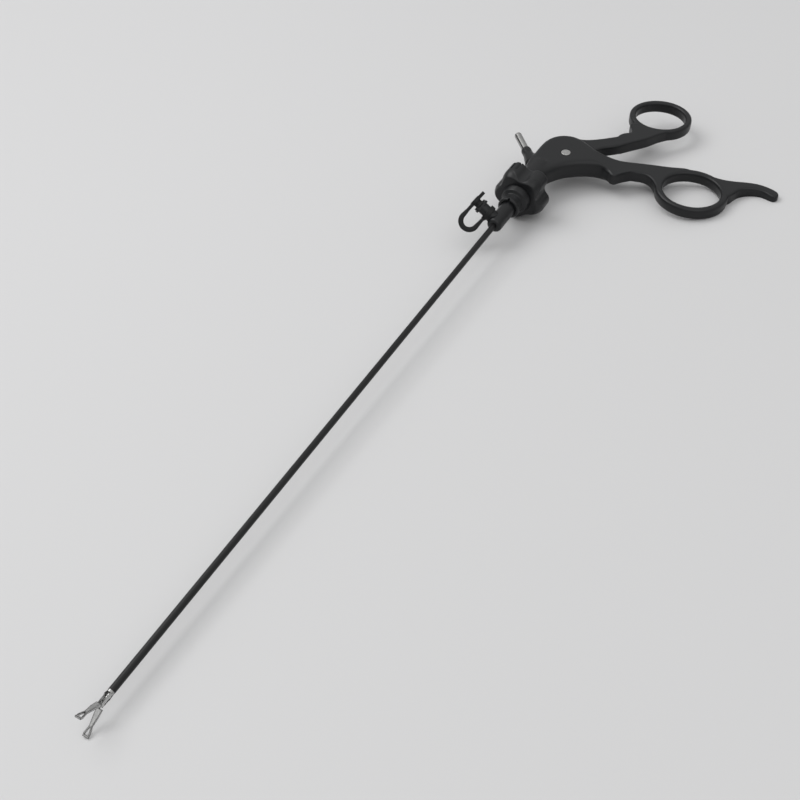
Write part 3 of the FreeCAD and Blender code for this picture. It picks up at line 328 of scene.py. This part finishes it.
# %% Finishes
plastic("black_moulding", dark=(0.0050, 0.0054, 0.0062), pale=(0.0090, 0.0095, 0.0105), rough=0.34,
        grain_per_metre=2400.0, grain_height=0.00005, wear_and_reflection_amount=0.25)
plastic("knob_moulding", dark=(0.0060, 0.0064, 0.0072), pale=(0.0105, 0.0110, 0.0120), rough=0.34,
        grain_per_metre=2600.0, grain_height=0.00005, wear_and_reflection_amount=0.3)
plastic("sheath", dark=(0.0080, 0.0080, 0.0085), pale=(0.0125, 0.0125, 0.0130), rough=0.34,
        grain_per_metre=3200.0, grain_height=0.00003, wear_and_reflection_amount=0.2, gloss=0.3)
plastic("insulator", dark=(0.0045, 0.0045, 0.0050), pale=(0.0080, 0.0080, 0.0085), rough=0.40,
        grain_per_metre=3000.0, grain_height=0.00003, wear_and_reflection_amount=0.2)
plastic("soft_rubber", dark=(0.0045, 0.0045, 0.0050), pale=(0.0080, 0.0080, 0.0085), rough=0.50,
        grain_per_metre=3000.0, grain_height=0.00005, wear_and_reflection_amount=0.2, gloss=0.3)
plastic("white_ptfe", dark=(0.70, 0.70, 0.68), pale=(0.80, 0.80, 0.78), rough=0.45,
        grain_per_metre=3000.0, grain_height=0.00003, wear_and_reflection_amount=0.1)
plastic("pin_coating", dark=(0.006, 0.006, 0.006), pale=(0.010, 0.010, 0.010), rough=0.30,
        grain_per_metre=3000.0, grain_height=0.00001, wear_and_reflection_amount=0.1, gloss=0.5)
# The dark edge colour on this steel and on the jaws' steel is a painted dark reflection, laid almost all
# round the edges.
metal("stainless", deep=(0.48, 0.48, 0.475), bright=(0.60, 0.60, 0.59), rough=0.24,
      stretch=(0.05, 1.0, 1.0), lines_per_metre=1500.0, line_height=0.000004,
      wear_and_reflection_amount=0.95, edge=(0.045, 0.043, 0.040), least=0.7, width=0.00035)
# Dark edge colour here: a painted dark reflection.
metal("jaw_steel", deep=(0.50, 0.50, 0.495), bright=(0.64, 0.64, 0.63), rough=0.22,
      stretch=(0.05, 1.0, 1.0), lines_per_metre=1500.0, line_height=0.000004,
      wear_and_reflection_amount=1.0, edge=(0.022, 0.021, 0.020), least=0.9, width=0.0007)
metal("bright_steel", deep=(0.32, 0.32, 0.315), bright=(0.45, 0.45, 0.44), rough=0.28,
      stretch=(1.0, 1.0, 0.1), lines_per_metre=4000.0, line_height=0.00001,
      wear_and_reflection_amount=0.4, edge=(0.58, 0.58, 0.57))
metal("screw_steel", deep=(0.40, 0.40, 0.395), bright=(0.52, 0.52, 0.51), rough=0.30,
      stretch=(1.0, 0.15, 1.0), lines_per_metre=3000.0, line_height=0.00001,
      wear_and_reflection_amount=0.5, edge=(0.68, 0.68, 0.67))
metal("bearing_bronze", deep=(0.42, 0.27, 0.12), bright=(0.58, 0.40, 0.20), rough=0.34,
      stretch=(0.3, 1.0, 1.0), lines_per_metre=4000.0, line_height=0.00002,
      wear_and_reflection_amount=0.4, edge=(0.66, 0.48, 0.28))

# %% Finishes on the CAD pieces
OWN_FINISH = {
    "jaw_upper": "jaw_steel",
    "jaw_lower": "jaw_steel",
    "pivot_screw": "screw_steel",
    "jaw_pin": "pin_coating",
    "drive_pin": "pin_coating",
}
slot_of = {row["node"]: row["material_slot"] for row in frame["record"]["subparts"]}
for name, node in nodes.items():
    node.data.materials.clear()
    node.data.materials.append(finishes[OWN_FINISH.get(name, slot_of[name])])
print(len(nodes), "nodes finished")

# %% [markdown]
# A moulding has no sharp inner corners: where the ring meets the grip, or the nose meets the cheeks, the
# plastic flows in a small fillet. Such blends over many crossing shapes are hard to cut in CAD. Here a
# copy of the CAD piece is welded, rebuilt from small cubes of one size, and relaxed, which rounds every
# edge by about the size of a cube and leaves the piece in the same place.

# %% Softened mouldings
WELD = 0.000002


def relaxed(piece, passes, share=None):
    """Relax the piece, all over or where share gives a point more than none of it."""
    relax = piece.modifiers.new("relax", "SMOOTH")
    relax.factor = 0.5
    relax.iterations = passes
    if share:
        group = piece.vertex_groups.new(name="share")
        for vertex in piece.data.vertices:
            weight = share(vertex.co)
            if weight > 0:
                group.add([vertex.index], weight, "REPLACE")
        relax.vertex_group = group.name
    bpy.ops.object.modifier_apply(modifier=relax.name)
    piece.vertex_groups.clear()


def softened(node_name, new_name, body, cell, passes, carve=None, share=None, share_passes=0):
    """A relaxed copy of a CAD piece that stands for it and rides on the same body.

    carve moves single points of the cubes' skin, and share says where share_passes more relax it.
    """
    bpy.ops.object.select_all(action="DESELECT")
    nodes[node_name].select_set(True)
    bpy.context.view_layer.objects.active = nodes[node_name]
    bpy.ops.object.duplicate()
    made = bpy.context.object
    bpy.ops.object.parent_clear(type="CLEAR_KEEP_TRANSFORM")
    made.name = new_name
    for key in [key for key in made.keys() if key.startswith("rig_")]:
        del made[key]
    bpy.ops.object.mode_set(mode="EDIT")
    bpy.ops.mesh.select_all(action="SELECT")
    bpy.ops.mesh.remove_doubles(threshold=WELD)
    bpy.ops.object.mode_set(mode="OBJECT")
    cubes = made.modifiers.new("even_cells", "REMESH")
    cubes.mode = "VOXEL"
    cubes.voxel_size = cell
    bpy.ops.object.modifier_apply(modifier=cubes.name)
    if carve:
        for vertex in made.data.vertices:
            vertex.co = carve(vertex.co)
    if share:
        relaxed(made, share_passes, share)
    relaxed(made, passes)
    bpy.ops.object.shade_smooth()
    if body:
        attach(made, body)
    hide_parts(node_name)
    print(new_name, "has", 2 * len(made.data.polygons), "triangles or fewer")
    return made


def ease(value, low, high):
    """0 below low, 1 above high, and a smooth step between them."""
    part = min(1.0, max(0.0, (value - low) / (high - low)))
    return part * part * (3 - 2 * part)


def from_axis(degrees):
    """The way straight out from the shaft's axis, turned from +Y towards +Z."""
    return Vector((0.0, math.cos(math.radians(degrees)), math.sin(math.radians(degrees))))


# %% [markdown]
# The cheeks are thicker than the grip. Ahead of the finger grooves they thin down to it, and the nub
# that ends them stays small. The thumb arm is a little deeper on the side of the grip than a straight
# bar would be.

# %% Handle and thumb lever
GRIP_WAY = Vector((-0.288, 0.958, 0.0))
CHEEK_HALF, GRIP_HALF = 0.0054, 0.0033
NUB_BACK, BACK_CUT = Vector((-0.0690, 0.0440, 0.0)), 0.0024
NUB_TIP, TIP_RISE = Vector((-0.0675, 0.0372, 0.0)), 0.0011
PIVOT = Vector((-0.0693, 0.0083, 0.0))
ARM_WAY = Vector((-0.896, 0.446, 0.0))
ARM_SIDE = Vector((0.446, 0.896, 0.0))
ARM_DEPTH = 0.0012


def thin_cheek(point):
    """Thin the end of the cheeks down to the grip, and shape the nub there."""
    along = point.dot(GRIP_WAY)
    if 0.040 < along < 0.072:
        limit = CHEEK_HALF - (CHEEK_HALF - GRIP_HALF) * ease(along, 0.042, 0.057)
        if abs(point.z) > limit:
            point.z = math.copysign(limit, point.z)
    flat = Vector((point.x, point.y, 0.0))
    point.x -= BACK_CUT * (1.0 - ease((flat - NUB_BACK).length, 0.001, 0.007))
    point.x += TIP_RISE * (1.0 - ease((flat - NUB_TIP).length, 0.0005, 0.0040))
    return point


def nose_joint(point):
    """Where the round nose runs into the flat cheeks."""
    inside = ease(point.y, -0.0075, -0.0045)
    return inside * ease(point.x, -0.066, -0.060) * (1.0 - ease(point.x, -0.0425, -0.0410))


def deeper_arm(point):
    """Move the side of the thumb arm that faces the grip out, most of all in its middle."""
    along = (point - PIVOT).dot(ARM_WAY)
    aside = (point - PIVOT).dot(ARM_SIDE)
    share = ease(along, 0.020, 0.030) * (1.0 - ease(along, 0.046, 0.058)) * ease(aside, 0.0, 0.004)
    return point + ARM_SIDE * (ARM_DEPTH * share)


softened("handle_body", "handle_shell", "handle", cell=0.00048, passes=6, carve=thin_cheek,
         share=nose_joint, share_passes=34)
softened("thumb_lever", "lever_shell", "thumb_lever", cell=0.00045, passes=6, carve=deeper_arm)

# %% [markdown]
# The front of the real knob's lobes is fuller than one round shoulder. The points between the front
# face and the lobes' outline are moved about half of their way out to it.

# %% Knob
LOBES, FIRST_LOBE = 5, math.radians(47.0)
LOBE_MEAN, LOBE_RISE = 0.0125, 0.0019
FACE_RADIUS, FULL_RADIUS = 0.0088, 0.0095
SHOULDER_BACK = -0.0332
FULLER = 0.55


def full_shoulder(point):
    """Move a point on the knob's front shoulder out towards the outline of its lobe."""
    radius = math.hypot(point.y, point.z)
    angle = math.atan2(point.z, point.y)
    outline = LOBE_MEAN + LOBE_RISE * math.cos(LOBES * (angle - FIRST_LOBE))
    if point.x > SHOULDER_BACK and FACE_RADIUS < radius < outline:
        grown = radius + FULLER * ease(radius, FACE_RADIUS, FULL_RADIUS) * (outline - radius)
        point.y, point.z = point.y * grown / radius, point.z * grown / radius
    return point


knob_shell = softened("rotation_knob", "knob_shell", "rotator", cell=0.00021, passes=9,
                      carve=full_shoulder)

# %% [markdown]
# One lobe of the knob has a narrow slot from its back, which tells the surgeon's finger how the jaws
# are turned. The small cubes close such a slot, so it is pressed into the finished lobe.

# %% Slot in the knob
SLOT_FRONT, SLOT_FLOOR, SLOT_HALF = -0.0326, 0.0120, 0.0005
slot_way = from_axis(107.0)
slot_side = Vector((1.0, 0.0, 0.0)).cross(slot_way)
pressed = 0
for vertex in knob_shell.data.vertices:
    out = vertex.co.dot(slot_way)
    aside = abs(vertex.co.dot(slot_side))
    if vertex.co.x < SLOT_FRONT and out > SLOT_FLOOR and aside < SLOT_HALF:
        vertex.co -= slot_way * (out - SLOT_FLOOR)
        pressed += 1
print("slot points pressed", pressed)

# %% Collar, flush housing, port and cap
MOUTH_BACK, MOUTH_RADIUS = -0.0184, 0.00408
RECESS_INNER, RECESS_OUTER = 0.0042, 0.0048


def close_mouth(point):
    """The collar's mouth fits the housing, so the shallow recess in it is closed."""
    radius = math.hypot(point.y, point.z)
    if point.x > MOUTH_BACK and RECESS_INNER < radius < RECESS_OUTER:
        point.y, point.z = point.y * MOUTH_RADIUS / radius, point.z * MOUTH_RADIUS / radius
    return point


softened("knob_collar", "collar_shell", "rotator", cell=0.00022, passes=2, carve=close_mouth)
softened("flush_housing", "housing_shell", "rotator", cell=0.00022, passes=4)
softened("flush_port", "port_shell", "rotator", cell=0.00014, passes=2)
softened("port_cap", "cap_shell", "port_cap", cell=0.00015, passes=4)

# %% [markdown]
# The strap is soft rubber with one end on the port and the other on the cap, so it can't ride on either.
# The real loop is short and thickest at its bend, so the points there are drawn back, and out along
# their normals.

# %% Strap between the port and its cap
PORT_FOOT = Vector((-0.0049, 0.0, 0.0))
LOOP_WAY = Vector((0.7136, -0.3710, -0.5936))
BEND_STARTS, BEND_FULL = 0.004, 0.013
BEND_SWELL, BEND_DRAW = 0.00045, 0.0010
strap_shell = softened("cap_strap", "strap_shell", None, cell=0.00018, passes=5)
swell = strap_shell.modifiers.new("swell", "DISPLACE")
swell.strength = BEND_SWELL
swell.mid_level = 0.0
bend = strap_shell.vertex_groups.new(name="bend")
for vertex in strap_shell.data.vertices:
    at_bend = ease((vertex.co - PORT_FOOT).dot(LOOP_WAY), BEND_STARTS, BEND_FULL)
    bend.add([vertex.index], at_bend, "REPLACE")
    vertex.co -= LOOP_WAY * (BEND_DRAW * at_bend)
swell.vertex_group = bend.name
bpy.ops.object.modifier_apply(modifier=swell.name)
strap_shell.vertex_groups.clear()
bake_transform(strap_shell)

# %% [markdown]
# The table is a pale grey sheet that takes the tool's shadow.

# %% Table finish
sheet = bpy.data.materials.new("pale_table")
sheet.use_nodes = True
tree = sheet.node_tree
shader = tree.nodes["Principled BSDF"]
shader.inputs["Roughness"].default_value = 0.55
shader.inputs["Specular IOR Level"].default_value = 0.25
where = add(tree, "ShaderNodeTexCoord")
mottle = add(tree, "ShaderNodeTexNoise", {"Scale": 1.4, "Detail": 1.0})
shade = add(tree, "ShaderNodeMix", {"A": (0.604, 0.604, 0.605, 1), "B": (0.640, 0.640, 0.645, 1)},
            data_type="RGBA")
tree.links.new(where.outputs["Object"], mottle.inputs["Vector"])
tree.links.new(mottle.outputs["Fac"], shade.inputs["Factor"])
tree.links.new(shade.outputs["Result"], shader.inputs["Base Color"])
table_top.data.materials.append(sheet)
